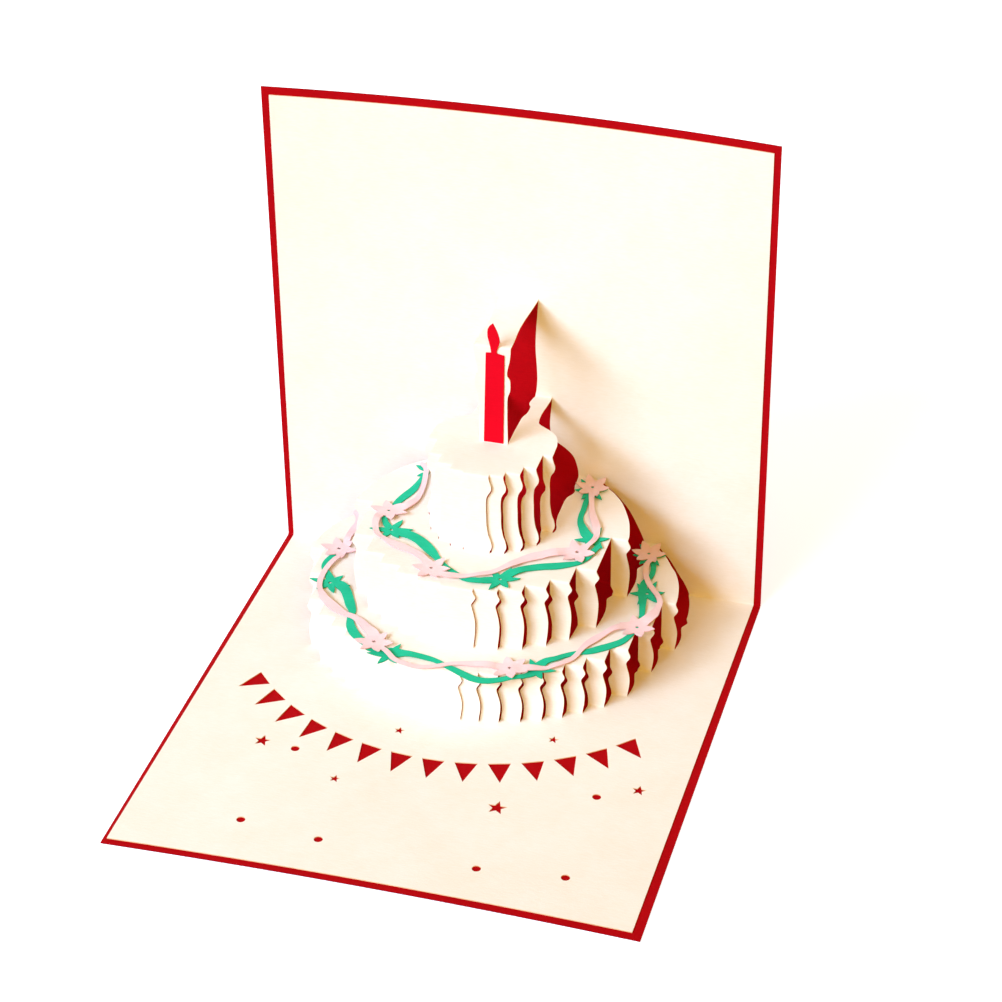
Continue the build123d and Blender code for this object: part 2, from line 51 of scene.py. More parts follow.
SHEET_BASE = [(-73.15, 0.0), (72.9, 0.0), (72.3, 150.6), (-73.85, 151.1)]
SHEET_WALL = [(-73.15, 0.0), (72.9, 0.0), (73.0, 150.7), (-72.7, 150.6)]
H1, H2, H3 = 16.6, 36.6, 62.7

TIER1 = dict(
    name="t1", low=0.0, top=H1, mid=-0.85,
    cuts=[3.91, 9.11, 14.73, 20.57, 26.29, 31.57, 36.68, 41.92, 47.08, 51.06, 55.16],
    deep=[76.83, 76.15, 75.11, 73.30, 71.04, 68.19, 64.65, 60.35, 53.56, 40.64, 28.23],
    back=[(55.16, 28.23), (54.6, 22.5), (53.5, 17.7), (51.6, 13.0), (49.9, 10.3),
          (47.1, 5.5), (43.3, 0.0)],
    wave=[(0, 0), (0.9, 0.30), (2.1, 0.70), (3.2, 0.30), (4.1, -0.25), (4.9, -0.50),
          (6.3, -0.25), (8.5, 0.30), (10.5, 0.55), (12.5, 0.50), (14.5, 0.28), (16.6, 0)])
TIER2 = dict(
    name="t2", low=H1, top=H2, mid=-0.5,
    cuts=[4.36, 11.23, 17.91, 24.07, 29.67, 35.68, 40.62],
    deep=[64.05, 63.19, 61.15, 57.76, 53.28, 45.65, 28.45],
    back=[(40.62, 28.45), (39.4, 21.7), (37.9, 17.2), (34.4, 10.0), (31.3, 5.9),
          (29.5, 4.1), (25.5, 0.0)],
    wave=[(0, 0), (0.9, 0.35), (2.1, 0.80), (3.2, 0.35), (4.1, -0.20), (4.9, -0.45),
          (6.5, -0.15), (9.0, 0.35), (11.5, 0.60), (14.0, 0.55), (17.0, 0.30), (20.0, 0)])
TIER3 = dict(
    name="t3", low=H2, top=H3, mid=0.0,
    cuts=[3.85, 7.94, 12.16, 15.79, 18.58],
    deep=[44.84, 44.01, 41.58, 37.46, 30.11],
    back=[(18.58, 30.11), (18.5, 27.0), (18.2, 23.5), (16.8, 19.5), (14.4, 17.1),
          (10.1, 13.8), (10.2, 0.0)],
    wave=[(0, 0), (1.5, 0.30), (3.1, 0.75), (4.6, 0.60), (6.0, -0.20), (7.2, -0.65),
          (9.4, -0.85), (13.0, -0.80), (17.0, -0.75), (20.5, -0.25), (22.3, 0.35),
          (24.2, 0.65), (25.4, 0.40), (26.1, 0)])

STEM_DEEP, STEM_TOP, STEM_MID = 27.2, 94.65, 0.3
STEM = [(35.5, 4.55), (42.0, 4.5), (48.6, 4.55), (51.2, 4.7), (53.5, 5.4), (56.0, 5.5),
        (57.4, 5.3), (58.3, 4.7), (59.8, 4.6), (63.8, 5.4), (67.45, 5.7), (71.4, 5.6),
        (78.2, 5.17), (84.1, 5.3), (90.1, 5.7), (94.65, 5.9)]

STARS = [(24.8, 111.9, 3.0), (-47.4, 100.4, 2.6), (60.4, 94.2, 2.2),
         (-22.1, 111.5, 1.7), (-11.4, 86.0, 1.7), (31.8, 78.6, 1.7)]
DOTS = [(-37.2, 101.5), (-41.1, 135.1), (-17.9, 137.8),
        (49.9, 100.0), (26.6, 138.1), (50.3, 135.0)]
DOT_R = 1.25
PENNANTS = 14
PENNANT_CENTRE = (-1.5, 21.0)
PENNANT_R = 75.2
PENNANT_SPAN = (-47.0, 45.0)
PENNANT_W, PENNANT_H = 6.6, 8.6

CANDLE_BODY = [(-2.5, 62.9), (3.3, 62.9), (3.95, 92.2), (1.9, 92.6)]
CANDLE_BODY_LEFT = [(0.15, 92.7), (-1.5, 92.5)]
FLAME_RIGHT = [(1.9, 92.6), (1.75, 93.4), (2.65, 96.4), (2.2, 99.3), (0.85, 102.6)]
FLAME_LEFT = [(0.85, 102.6), (-0.55, 100.9), (-0.85, 98.2), (-0.25, 95.2), (0.15, 92.7)]

FLOWER_R, FLOWER_IN, FLOWER_EYE = 5.5, 2.9, 0.5
LEAF_R, LEAF_IN, LEAF_EYE = 5.7, 2.1, 0.5

# garland bands: (x, depth, cut width)
LOWER_RIBBON = [(-50.1, 6.7, 1.6), (-48.2, 9.5, 1.6), (-47.3, 12.8, 1.6), (-47.3, 16.2, 2.4),
                (-47.4, 19.6, 2.1), (-47.3, 23.0, 2.0), (-46.7, 26.4, 2.3), (-46.6, 29.8, 2.1),
                (-47.4, 33.1, 1.6), (-48.2, 36.4, 1.6), (-48.6, 39.8, 1.6), (-48.6, 43.3, 1.6),
                (-47.9, 46.6, 1.6), (-46.5, 49.7, 1.6), (-44.5, 52.5, 2.4), (-41.9, 54.7, 2.9),
                (-39.2, 56.8, 3.0), (-36.2, 58.4, 2.1), (-32.9, 59.4, 2.1), (-30.1, 61.3, 2.5),
                (-27.7, 63.8, 2.8), (-25.1, 65.9, 3.2), (-22.9, 68.6, 2.6), (-20.9, 71.3, 1.6),
                (-18.4, 73.6, 1.6), (-15.7, 75.8, 1.6), (-12.7, 77.2, 1.6), (-9.3, 77.7, 1.6),
                (-5.9, 77.1, 1.6), (-2.8, 75.7, 1.6), (0.1, 73.9, 1.6), (3.3, 72.8, 1.8),
                (6.7, 72.1, 2.5), (10.1, 71.8, 2.7), (13.5, 71.8, 2.6), (16.9, 71.4, 2.7),
                (20.3, 70.9, 2.9), (23.6, 70.1, 2.5), (26.8, 69.0, 1.6), (29.6, 66.9, 1.6),
                (31.9, 64.4, 1.6), (33.5, 61.4, 1.6), (34.3, 58.1, 1.6), (35.3, 54.8, 2.1),
                (36.9, 51.8, 2.5), (38.7, 48.9, 2.0), (40.7, 46.1, 2.1), (43.3, 43.9, 2.6),
                (46.1, 41.9, 3.4), (48.7, 39.7, 3.4), (50.2, 36.7, 3.2), (50.7, 33.3, 2.1),
                (50.8, 29.9, 1.6), (49.5, 26.7, 1.6), (47.5, 24.0, 1.6), (45.4, 21.2, 1.6),
                (43.9, 18.2, 1.6), (43.0, 14.9, 1.6), (42.9, 11.5, 1.6), (43.3, 8.1, 1.7)]
LOWER_VINE = [(-48.2, 28.1, 1.6), (-49.4, 31.3, 1.6), (-50.1, 34.6, 1.6), (-49.4, 37.9, 1.6),
              (-47.1, 40.5, 1.6), (-44.9, 43.0, 2.1), (-42.0, 44.8, 3.4), (-39.6, 47.3, 3.1),
              (-37.8, 50.2, 3.0), (-36.2, 53.2, 2.9), (-34.6, 56.2, 2.2), (-34.1, 59.6, 1.8),
              (-33.0, 62.8, 2.5), (-31.2, 65.7, 2.8), (-28.8, 68.2, 2.6), (-26.1, 70.2, 2.4),
              (-24.0, 72.9, 1.8), (-20.7, 72.8, 2.0), (-17.5, 71.7, 2.4), (-14.1, 72.1, 2.5),
              (-10.7, 72.3, 2.2), (-7.3, 72.4, 2.1), (-4.0, 73.1, 1.7), (-0.8, 74.5, 1.7),
              (2.3, 75.8, 2.1), (5.4, 77.2, 2.4), (8.6, 78.4, 2.5), (12.0, 78.5, 2.5),
              (15.2, 77.3, 2.2), (18.2, 75.7, 1.8), (21.3, 74.3, 1.8), (23.8, 72.0, 2.6),
              (24.4, 68.7, 3.1), (25.8, 65.7, 2.4), (28.5, 63.5, 2.0), (30.8, 61.0, 1.9),
              (33.6, 59.0, 1.8), (36.6, 57.5, 2.4), (39.3, 55.4, 2.8), (41.9, 53.2, 2.6),
              (44.3, 50.7, 2.3), (45.8, 47.7, 1.7), (46.7, 44.4, 1.6), (47.4, 41.0, 1.6),
              (47.2, 37.6, 1.6), (46.6, 34.3, 1.8), (45.9, 30.9, 2.1), (45.1, 27.6, 2.6),
              (44.3, 24.3, 2.6), (44.0, 20.9, 1.9), (45.0, 17.7, 1.6), (45.1, 14.3, 1.6),
              (44.3, 11.0, 1.6), (42.8, 7.9, 1.6)]
UPPER_RIBBON = [(-28.9, 5.4, 1.6), (-26.6, 7.8, 1.6), (-25.7, 11.0, 1.6), (-25.0, 14.3, 1.6),
                (-24.5, 17.7, 1.6), (-24.2, 21.0, 1.6), (-24.3, 24.4, 1.8), (-25.3, 27.6, 2.4),
                (-27.1, 30.4, 3.1), (-29.6, 32.7, 3.2), (-31.8, 35.1, 2.4), (-32.2, 38.4, 2.1),
                (-31.5, 41.7, 1.8), (-29.8, 44.6, 1.6), (-27.1, 46.7, 1.6), (-24.2, 48.4, 2.5),
                (-21.0, 49.3, 2.9), (-17.8, 50.3, 2.6), (-15.0, 52.2, 2.4), (-12.4, 54.4, 2.5),
                (-10.1, 56.9, 2.8), (-7.7, 59.1, 2.7), (-4.4, 59.8, 2.4), (-1.1, 59.1, 1.9),
                (2.1, 58.0, 1.6), (5.1, 56.5, 1.6), (7.8, 54.5, 1.6), (10.0, 52.0, 1.7),
                (12.0, 49.3, 2.6), (14.1, 46.6, 2.8), (16.6, 44.3, 3.4), (19.4, 42.5, 3.4),
                (22.4, 40.9, 3.4), (25.5, 39.5, 2.9), (28.3, 37.7, 2.4), (30.6, 35.2, 1.7),
                (31.5, 32.0, 1.6), (31.4, 28.7, 1.8), (30.5, 25.4, 2.2), (29.2, 22.3, 2.3),
                (27.8, 19.2, 2.0), (26.7, 16.0, 1.6), (25.8, 12.8, 1.6), (25.0, 9.5, 1.8),
                (24.6, 6.2, 2.6)]
UPPER_VINE = [(-25.6, 8.8, 1.6), (-26.1, 12.1, 1.6), (-26.6, 15.5, 1.6), (-27.0, 18.9, 2.4),
              (-28.0, 22.2, 2.7), (-29.1, 25.4, 2.4), (-29.8, 28.7, 1.9), (-30.6, 32.0, 1.6),
              (-30.8, 35.4, 1.6), (-29.3, 38.5, 1.9), (-26.8, 40.7, 2.4), (-23.6, 41.9, 3.4),
              (-20.3, 42.9, 3.4), (-17.2, 44.3, 3.4), (-14.6, 46.5, 3.4), (-12.2, 48.9, 3.0),
              (-9.9, 51.4, 2.0), (-7.5, 53.8, 1.6), (-4.8, 56.0, 1.6), (-1.9, 57.8, 1.6),
              (1.0, 59.4, 1.9), (4.4, 59.5, 2.3), (7.7, 58.5, 2.5), (10.5, 56.6, 2.8),
              (12.5, 53.9, 2.8), (14.8, 51.4, 2.7), (17.5, 49.3, 2.9), (20.6, 47.8, 3.0),
              (23.8, 46.7, 3.1), (26.9, 45.2, 2.6), (29.8, 43.4, 1.8), (31.6, 40.6, 1.7),
              (32.5, 37.3, 1.8), (33.1, 33.9, 2.0), (31.4, 31.1, 2.2), (28.6, 29.2, 3.2),
              (26.7, 26.4, 2.5), (25.2, 23.3, 1.9), (24.5, 20.0, 1.6), (24.4, 16.6, 1.6),
              (24.2, 13.2, 1.6), (24.3, 9.8, 1.6), (24.4, 6.4, 1.8)]
# flowers and leaf clusters: (x, depth, turn in degrees)
LOWER_FLOWERS = [(-48.3, 27.4, 2), (-23.6, 69.8, -4), (17.2, 71.8, 6), (47.2, 43.1, 3),
                 (41.8, 6.1, -3)]
UPPER_FLOWERS = [(-30.3, 32.6, 4), (-9.8, 57.3, -5), (28.3, 39.1, 0), (24.1, 5.2, 2)]
LOWER_LEAVES = [(-45.4, 44.4, 2), (-17.8, 73.7, -12), (24.4, 69.7, -5), (46.0, 25.7, -16),
                (42.1, 6.6, -12)]
UPPER_LEAVES = [(-26.8, 41.2, -12), (10.5, 57.0, -14), (30.7, 31.2, -18), (24.0, 6.3, -15)]
# single leaves at the rear end of the upper vine: base, tip and half width
UPPER_LEAFLETS = [((-25.5, 8.4), (-30.1, 6.5), 1.0), ((-25.3, 9.9), (-28.1, 11.9), 0.9)]


# ---------------------------------------------------------------- cut geometry
def smooth(table, t):
    """Smooth curve through (t, value) pairs, flat outside the table."""
    if t <= table[0][0]:
        return table[0][1]
    if t >= table[-1][0]:
        return table[-1][1]
    for k in range(len(table) - 1):
        (t0, a), (t1, b) = table[k], table[k + 1]
        if t <= t1:
            def slope(j):
                if j <= 0 or j >= len(table) - 1:
                    return 0.0
                return (table[j + 1][1] - table[j - 1][1]) / (table[j + 1][0] - table[j - 1][0])
            m0, m1, w = slope(k), slope(k + 1), t1 - t0
            u = (t - t0) / w
            return ((2*u**3 - 3*u**2 + 1) * a + (u**3 - 2*u**2 + u) * w * m0
                    + (-2*u**3 + 3*u**2) * b + (u**3 - u**2) * w * m1)


def steps(a, b, step=0.55):
    """Evenly spaced values from a to b, both ends included."""
    n = max(2, math.ceil(abs(b - a) / step))
    return [a + (b - a) * k / n for k in range(n + 1)]


def cut_x(tier, k, flat):
    """x of cut k at a flat height: curved along the strip in front, then straight."""
    return tier["cuts"][k] + smooth(tier["wave"], tier["top"] - tier["deep"][k] - flat)


def top_x(tier, depth):
    return smooth([(d, x) for x, d in reversed(tier["back"])], depth)


def side_x(tier, flat):
    """x of the tier's outermost cut at a flat height."""
    if flat <= tier["top"] - tier["deep"][-1]:
        return cut_x(tier, len(tier["cuts"]) - 1, flat)
    return top_x(tier, tier["top"] - flat)


def stem_x(flat):
    return smooth(STEM, flat)


def star(x, y, outer, inner, points, turn):
    out = []
    for k in range(2 * points):
        r = outer if k % 2 == 0 else inner
        a = math.radians(turn + 180.0 * k / points)
        out.append((x + r * math.cos(a), y + r * math.sin(a)))
    return out


def ring(x, y, r, n=28):
    return [(x + r * math.cos(2 * math.pi * k / n), y + r * math.sin(2 * math.pi * k / n))
            for k in range(n)]


# ---------------------------------------------------------------- flat meshes
def inside(points, loop):
    """Which points lie in a closed loop."""
    p, a = np.asarray(points), np.asarray(loop)
    b = np.roll(a, -1, axis=0)
    hit = np.zeros(len(p), bool)
    for (x0, y0), (x1, y1) in zip(a, b):
        if y0 == y1:
            continue
        crosses = (y0 > p[:, 1]) != (y1 > p[:, 1])
        hit ^= crosses & (p[:, 0] < (x1 - x0) * (p[:, 1] - y0) / (y1 - y0) + x0)
    return hit


def dense(loop, step):
    """A closed loop with its long edges divided."""
    out = []
    for k, (x0, y0) in enumerate(loop):
        x1, y1 = loop[(k + 1) % len(loop)]
        n = max(1, math.ceil(math.hypot(x1 - x0, y1 - y0) / step))
        out += [(x0 + (x1 - x0) * j / n, y0 + (y1 - y0) * j / n) for j in range(n)]
    return out


def fill(loops, holes, step):
    """Triangles that fill the union of loops less the holes, with points inside for bending."""
    points, edges = [], []
    for loop in list(loops) + list(holes):
        first = len(points)
        points += loop
        edges += [(first + k, first + (k + 1) % len(loop)) for k in range(len(loop))]
    tree = KDTree(len(points))
    for k, (x, y) in enumerate(points):
        tree.insert((x, y, 0.0), k)
    tree.balance()
    low, high = np.min(points, axis=0), np.max(points, axis=0)
    grid = []
    rows = max(1, math.ceil((high[1] - low[1]) / (step * 0.87)))
    for j in range(1, rows):
        y = low[1] + (high[1] - low[1]) * j / rows
        x = low[0] + (0.5 if j % 2 else 1.0) * step
        while x < high[0]:
            grid.append((x, y))
            x += step
    if grid:
        keep = np.zeros(len(grid), bool)
        for loop in loops:
            keep |= inside(grid, loop)
        for loop in holes:
            keep &= ~inside(grid, loop)
        grid = [g for g, ok in zip(grid, keep) if ok and tree.find((g[0], g[1], 0.0))[2] > 0.45 * step]
    verts, _, faces, source, _, _ = delaunay_2d_cdt(
        [Vector(p) for p in points + grid], edges, [], 0, 1e-5)
    verts = [(v.x, v.y) for v in verts]
    middle = [(sum(verts[i][0] for i in f) / 3, sum(verts[i][1] for i in f) / 3) for f in faces]
    keep = np.zeros(len(faces), bool)
    for loop in loops:
        keep |= inside(middle, loop)
    for loop in holes:
        keep &= ~inside(middle, loop)
    where = {}
    for k, ids in enumerate(source):
        for i in ids:
            where[i] = k
    return verts, [tuple(f) for f, ok in zip(faces, keep) if ok], where


# ---------------------------------------------------------------- folded sheets
class Folded:
    """A sheet of flat panels, level or upright, joined by rounded creases."""

    def __init__(self, thick, crease):
        self.thick, self.crease = thick, crease
        self.at, self.off, self.tris, self.rows = [], [], [], {}

    def panel(self, kind, level, outline, holes=(), step=4.0):
        """outline is (u, v, crease name or None); u is x, v is depth or height."""
        loop = [(u, v) for u, v, _ in outline]
        verts, tris, where = fill([loop], [list(h) for h in holes], step)
        used = sorted({i for t in tris for i in t})
        index = {}
        for i in used:
            index[i] = len(self.at)
            u, v = verts[i]
            if kind == "level":
                self.at.append((u, v, level))
                self.off.append((0.0, 0.0, -self.thick))
            else:
                self.at.append((u, level, v))
                self.off.append((0.0, -self.thick, 0.0))
        for t in tris:
            t = [index[i] for i in t]
            self.tris.append(tuple(reversed(t)) if kind == "level" else tuple(t))
        for i, (u, v, name) in enumerate(outline):
            if name is not None:
                self.rows.setdefault(name, {}).setdefault(kind, []).append((u, index[where[i]]))

    def creases(self, parts=4):
        """Rounded strips between the two panels that meet at each crease."""
        for name, row in self.rows.items():
            a = [i for _, i in sorted(row["level"])]
            b = [i for _, i in sorted(row["upright"])]
            if len(a) != len(b):
                raise ValueError(f"crease {name}: {len(a)} and {len(b)} points")
            last = a
            for k in range(1, parts + 1):
                if k == parts:
                    line = b
                else:
                    c, s = math.cos(math.pi / 2 * k / parts), math.sin(math.pi / 2 * k / parts)
                    line = []
                    for i, j in zip(a, b):
                        p, q = np.array(self.at[i]), np.array(self.at[j])
                        m = np.array([(p[0] + q[0]) / 2, p[1], q[2]])
                        line.append(len(self.at))
                        self.at.append(tuple(m + c * (p - m) + s * (q - m)))
                        self.off.append(tuple(c * np.array(self.off[i]) + s * np.array(self.off[j])))
                for n in range(len(a) - 1):
                    quad = [last[n], last[n + 1], line[n + 1], line[n]]
                    p = [np.array(self.at[i]) for i in quad]
                    up = np.cross(p[2] - p[0], p[3] - p[1])
                    # front faces look up or forwards; depth runs towards the front,
                    # so a (x, depth, height) cross product is mirrored
                    facing = -(up[1] + up[2])
                    self.tris.append(tuple(quad if facing > 0 else reversed(quad)))
                last = line

    def mesh(self, name, bend):
        """Closed mesh with the sheet's thickness; cut edges take material 1."""
        n = len(self.at)
        at = np.array(self.at)
        back = at + np.array(self.off)
        verts = place(np.vstack([at, back]), bend)
        faces = list(self.tris)
        seen = {}
        for f in self.tris:
            for k in range(len(f)):
                e = (f[k], f[(k + 1) % len(f)])
                seen[e] = seen.get(e, 0) + 1
        rim = [e for e in seen if (e[1], e[0]) not in seen]
        faces += [tuple(i + n for i in reversed(f)) for f in self.tris]
        plain = len(faces)
        faces += [(b, a, a + n, b + n) for a, b in rim]
        return new_mesh(name, verts, faces, plain)


def place(points, bend):
    """(x, depth, height) in millimetres to metres in the card's frame, with the paper's bend."""
    p = np.asarray(points, float)
    if bend is not None:
        p = p + bend(p)
    return np.stack([p[:, 0], FACE_Y - p[:, 1], FACE_Z + p[:, 2]], axis=1) / 1000.0


def new_mesh(name, verts, faces, plain):
    mesh = bpy.data.meshes.new(name)
    mesh.from_pydata([tuple(v) for v in verts], [], faces)
    mesh.update()
    index = np.zeros(len(faces), np.int32)
    index[plain:] = 1
    mesh.polygons.foreach_set("material_index", index)
    mesh.polygons.foreach_set("use_smooth", np.ones(len(faces), bool))
    mesh.set_sharp_from_angle(angle=math.radians(32))
    mesh.validate()
    obj = bpy.data.objects.new(name, mesh)
    bpy.context.scene.collection.objects.link(obj)
    return obj


def bow(p):
    """The open card's bend: the upright half bows back, the flat half's front lifts."""
    x, d, h = p[:, 0], p[:, 1], p[:, 2]
    across = 1.0 - (x / 75.0) ** 2
    near = np.clip(1.0 - d / 26.0, 0.0, 1.0) ** 2
    near = np.where(d < 0, 1.0, near)
    back = -4.2 * (np.clip(h, 0, None) / 153.0) ** 2 * across * near
    low = np.clip(1.0 - h / 50.0, 0.0, 1.0)
    lift = 1.5 * (np.clip(d, 0, None) / 153.0) ** 3 * across * low
    out = np.zeros_like(p)
    out[:, 1] = back
    out[:, 2] = lift
    return out


def row(name, xa, xb, v, step=1.1):
    """Points along a crease."""
    n = max(2, math.ceil(abs(xb - xa) / step))
    return [(xa + (xb - xa) * k / n, v, name) for k in range(n + 1)]


def mirrored(part, mid):
    out = []
    for u, v, name in reversed(part):
        out.append((2 * mid - u, v, None if name is None else name[:-1] + "L"))
    return out


def opening(tier, r):
    """Right half of the window that a tier leaves in the panel it rises from, rear to
    front, then the crease of its middle strip, then the left half."""
    low, deep, mid = tier["low"], tier["deep"], tier["mid"]
    last = len(deep) - 1
    part, before = [], 0.0
    for k in range(last, -1, -1):
        run = steps(before, deep[k])
        for p in run[0 if k == last else 1:-1]:
            x = side_x(tier, low - p) if k == last else cut_x(tier, k, low - p)
            part.append((x, p + r, None))
        before = deep[k]
        xa = cut_x(tier, k, low - deep[k])
        if k:
            part += row(f"{tier['name']}_foot{k}R", xa, cut_x(tier, k - 1, low - deep[k]), deep[k] + r)
        else:
            middle = row(f"{tier['name']}_foot0C", xa, 2 * mid - xa, deep[0] + r)
    return part, middle


def tier_top(tier, above, r):
    """Outline of a tier's top: outer edge with its creases, then the next tier's window."""
    deep, cuts, mid, top = tier["deep"], tier["cuts"], tier["mid"], tier["top"]
    last = len(deep) - 1
    inner = side_x(above, top) if above else stem_x(top)
    side = above["mid"] if above else STEM_MID
    arm = row(f"{tier['name']}_armR", inner, top_x(tier, 0.0), r)
    outer = []
    scale = (deep[last] - 2 * r) / deep[last]
    stops = [0.0, deep[last]] if tier is not TIER3 else [0.0, 13.8, deep[last]]
    for a, b in zip(stops, stops[1:]):
        outer += [(top_x(tier, p), r + p * scale, None) for p in steps(a, b)[1:]]
    outer.pop()
    for k in range(last, 0, -1):
        outer += row(f"{tier['name']}_top{k}R", cuts[k], cuts[k - 1], deep[k] - r)
    front = row(f"{tier['name']}_top0C", cuts[0], 2 * mid - cuts[0], deep[0] - r)
    left_arm = row(f"{tier['name']}_armL", 2 * mid - top_x(tier, 0.0), 2 * side - inner, r)
    out = arm + outer + front + mirrored(outer, mid) + left_arm
    if above:
        part, middle = opening(above, r)
        back = part[1:] + middle + mirrored(part[1:], above["mid"])
    else:
        part = [(stem_x(top - p), p + r, None) for p in steps(0.0, STEM_DEEP)[1:-1]]
        middle = row("stem_footC", stem_x(top - STEM_DEEP), 2 * STEM_MID - stem_x(top - STEM_DEEP), STEM_DEEP + r)
        back = part + middle + mirrored(part, STEM_MID)
    return out + list(reversed(back))


def strip(tier, k, r, flip=False):
    """Outline of one upright strip, counter-clockwise from its lower right corner."""
    low, top, depth, mid = tier["low"], tier["top"], tier["deep"][k], tier["mid"]
    scale = (top - low - 2 * r) / (top - low)

    def edge(cut):
        return [(cut_x(tier, cut, z - depth), low + r + (z - low) * scale, None)
                for z in steps(low, top)[1:-1]]
    name = tier["name"]
    right = edge(k)
    xa, xb = cut_x(tier, k, low - depth), cut_x(tier, k, top - depth)
    if k == 0:
        left = [(2 * mid - u, v, None) for u, v, _ in right]
        foot = row(f"{name}_foot0C", 2 * mid - xa, xa, low + r)
        head = row(f"{name}_top0C", xb, 2 * mid - xb, top - r)
    else:
        left = edge(k - 1)
        foot = row(f"{name}_foot{k}R", cut_x(tier, k - 1, low - depth), xa, low + r)
        head = row(f"{name}_top{k}R", xb, cut_x(tier, k - 1, top - depth), top - r)
    out = foot + right + head + list(reversed(left))
    return mirrored(out, mid) if flip else out


def pennants():
    out = []
    for n in range(PENNANTS):
        turn = math.radians(PENNANT_SPAN[0] + (PENNANT_SPAN[1] - PENNANT_SPAN[0]) * n / (PENNANTS - 1))
        ox, oy = math.sin(turn), math.cos(turn)
        corners = []
        for along, away in ((-PENNANT_W / 2, 0), (PENNANT_W / 2, 0), (0, PENNANT_H)):
            r = PENNANT_R + away
            corners.append((PENNANT_CENTRE[0] + r * ox + along * oy,
                            PENNANT_CENTRE[1] + r * oy - along * ox))
        out.append(dense(corners, 1.5))
    return out


def edge_points(a, b, step=3.0):
    """Points between two corners, both left out."""
    n = max(1, math.ceil(math.hypot(b[0] - a[0], b[1] - a[1]) / step))
    return [(a[0] + (b[0] - a[0]) * k / n, a[1] + (b[1] - a[1]) * k / n, None) for k in range(1, n)]


def make_inner_sheet():
    r = CREASE
    sheet = Folded(SHEET_T, r)
    # flat half
    part, middle = opening(TIER1, r)
    sx = part[0][0]
    mid = TIER1["mid"]
    (xa, _), (xb, _), c, d = SHEET_BASE
    main_l = row("main_L", xa, 2 * mid - sx, r, 3.0)
    main_r = row("main_R", sx, xb, r, 3.0)
    outline = (main_l + list(reversed(middle_out(part[1:], middle, mid)))
               + main_r + edge_points((xb, r), c) + [(c[0], c[1], None)]
               + edge_points(c, d) + [(d[0], d[1], None)] + edge_points(d, (xa, r)))
    holes = [dense(star(x, y, s, s * 0.42, 5, -90.0), 0.8) for x, y, s in STARS]
    holes += [ring(x, y, DOT_R) for x, y in DOTS] + pennants()
    sheet.panel("level", 0.0, outline, holes, 4.0)
    # upright half
    right = []
    for tier, above in ((TIER1, TIER2), (TIER2, TIER3), (TIER3, None)):
        low, top = tier["low"], tier["top"]
        stops = [low, top] if tier is not TIER3 else [low, top - 13.8, top]
        run = []
        for a, b in zip(stops, stops[1:]):
            run += [(side_x(tier, z), z + r, None) for z in steps(a, b)[1:]]
        # the left and right halves mirror about each tier's own centre line
        inner = side_x(above, top) if above else stem_x(top)
        right.append((run[:-1], tier["mid"], row(f"{tier['name']}_armR", top_x(tier, 0.0), inner, top + r),
                      row(f"{tier['name']}_armL", 2 * tier["mid"] - top_x(tier, 0.0),
                          2 * (above["mid"] if above else STEM_MID) - inner, top + r)))
    up, down = [], []
    for run, m, arm_r, arm_l in right:
        up += run + arm_r
        down += [(2 * m - u, v, None) for u, v, _ in run] + arm_l
    stem_run = [(stem_x(z), z + r, None) for z in steps(H3, STEM_TOP)[1:-1]]
    up += stem_run
    down += [(2 * STEM_MID - u, v, None) for u, v, _ in stem_run]
    sw = stem_x(STEM_TOP)
    cross = row("stem_armC", sw, 2 * STEM_MID - sw, STEM_TOP + r)
    (xa, _), (xb, _), c, d = SHEET_WALL
    main_l = row("main_L", xa, 2 * mid - sx, r, 3.0)
    main_r = row("main_R", sx, xb, r, 3.0)
    outline = (main_l + down + list(reversed(cross)) + list(reversed(up)) + main_r
               + edge_points((xb, r), c) + [(c[0], c[1], None)]
               + edge_points(c, d) + [(d[0], d[1], None)] + edge_points(d, (xa, r)))
    sheet.panel("upright", 0.0, outline, (), 4.0)
    # tier tops
    for tier, above in ((TIER1, TIER2), (TIER2, TIER3), (TIER3, None)):
        sheet.panel("level", tier["top"], tier_top(tier, above, r), (), 2.4)
    # top of the support strip
    scale = (STEM_DEEP - 2 * r) / STEM_DEEP
    edge = [(stem_x(STEM_TOP - p), r + p * scale, None) for p in steps(0.0, STEM_DEEP)[1:-1]]
    sf = stem_x(STEM_TOP - STEM_DEEP)
    outline = (row("stem_armC", 2 * STEM_MID - sw, sw, r) + edge
               + row("stem_topC", sf, 2 * STEM_MID - sf, STEM_DEEP - r) + mirrored(edge, STEM_MID))
    sheet.panel("level", STEM_TOP, outline, (), 2.4)
    # upright strips
    for tier in (TIER1, TIER2, TIER3):
        for k in range(len(tier["deep"])):
            sheet.panel("upright", tier["deep"][k], strip(tier, k, r), (), 1.6)
            if k:
                sheet.panel("upright", tier["deep"][k], strip(tier, k, r, True), (), 1.6)
    # support strip
    low, top = H3, STEM_TOP
    scale = (top - low - 2 * r) / (top - low)
    edge = [(stem_x(z - STEM_DEEP), low + r + (z - low) * scale, None) for z in steps(low, top)[1:-1]]
    sb = stem_x(low - STEM_DEEP)
    outline = (row("stem_footC", 2 * STEM_MID - sb, sb, low + r) + edge
               + row("stem_topC", sf, 2 * STEM_MID - sf, top - r) + mirrored(edge, STEM_MID))
    sheet.panel("upright", STEM_DEEP, outline, (), 1.6)
    sheet.creases()
    return sheet.mesh("inner_sheet_paper", bow)


def middle_out(part, middle, mid):
    """Window outline from its right rear round the front to its left rear."""
    return part + middle + mirrored(part, mid)


